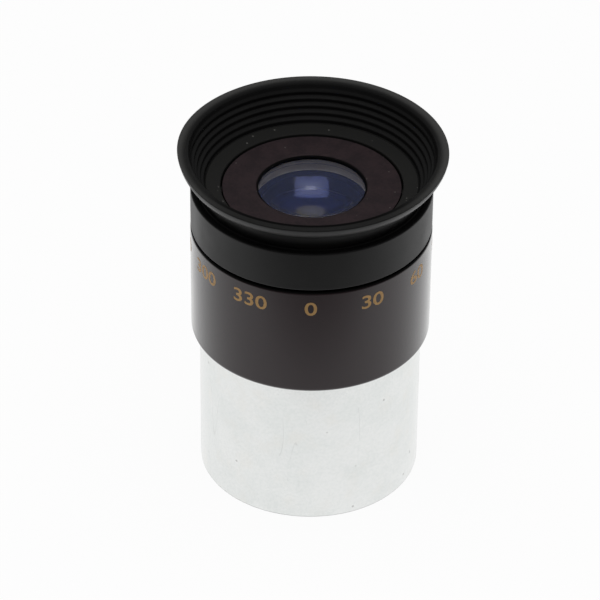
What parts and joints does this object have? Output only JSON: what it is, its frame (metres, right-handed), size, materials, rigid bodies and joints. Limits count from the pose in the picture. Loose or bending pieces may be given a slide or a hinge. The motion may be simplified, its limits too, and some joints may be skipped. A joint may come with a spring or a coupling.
{
  "type": "telescope eyepiece",
  "caption": "Short telescope eyepiece: chromed push-fit nosepiece, dark anodised barrel with two cemented lens groups, and a flared fold-down rubber eyecup ridged inside.",
  "frame": {"origin": "centre of the nosepiece's lower end, on the optical axis", "axes": "+Z along the optical axis, from the nosepiece up to the eyecup"},
  "size_m": [0.0382, 0.0382, 0.0525],
  "materials": {
    "chrome": "polished chrome plate with fine handling scratches",
    "barrel_anodised": "brown-black satin anodise",
    "ring_black": "matt black anodise",
    "rubber": "matt moulded black rubber",
    "lens_glass": "polished optical glass with a blue anti-reflection coating"
  },
  "bodies": {
    "nosepiece": {"nosepiece": "chrome", "field_stop": "ring_black"},
    "lens_stack": {"eye_flint": "lens_glass", "eye_crown": "lens_glass", "lens_spacer": "ring_black", "field_crown": "lens_glass", "field_flint": "lens_glass"},
    "barrel": {"barrel": "barrel_anodised", "retaining_ring": "ring_black"},
    "eyecup": {"eyecup": "rubber"}
  },
  "joints": [
    {"name": "thread_rise", "type": "slide", "parent": "nosepiece", "child": "lens_stack", "axis": [0, 0, 1], "range_m": [0, 0.0045]},
    {"name": "thread_turn", "type": "hinge", "parent": "lens_stack", "child": "barrel", "pos_m": [0, 0, 0.026], "axis": [0, 0, 1], "range_deg": [0, 2160]},
    {"name": "eyecup_turn", "type": "hinge", "parent": "barrel", "child": "eyecup", "pos_m": [0, 0, 0.044], "axis": [0, 0, 1], "continuous": true}
  ],
  "couplings": [
    {"joint": "thread_rise", "follows": "thread_turn", "m_per_rad": 0.00011936}
  ]
}
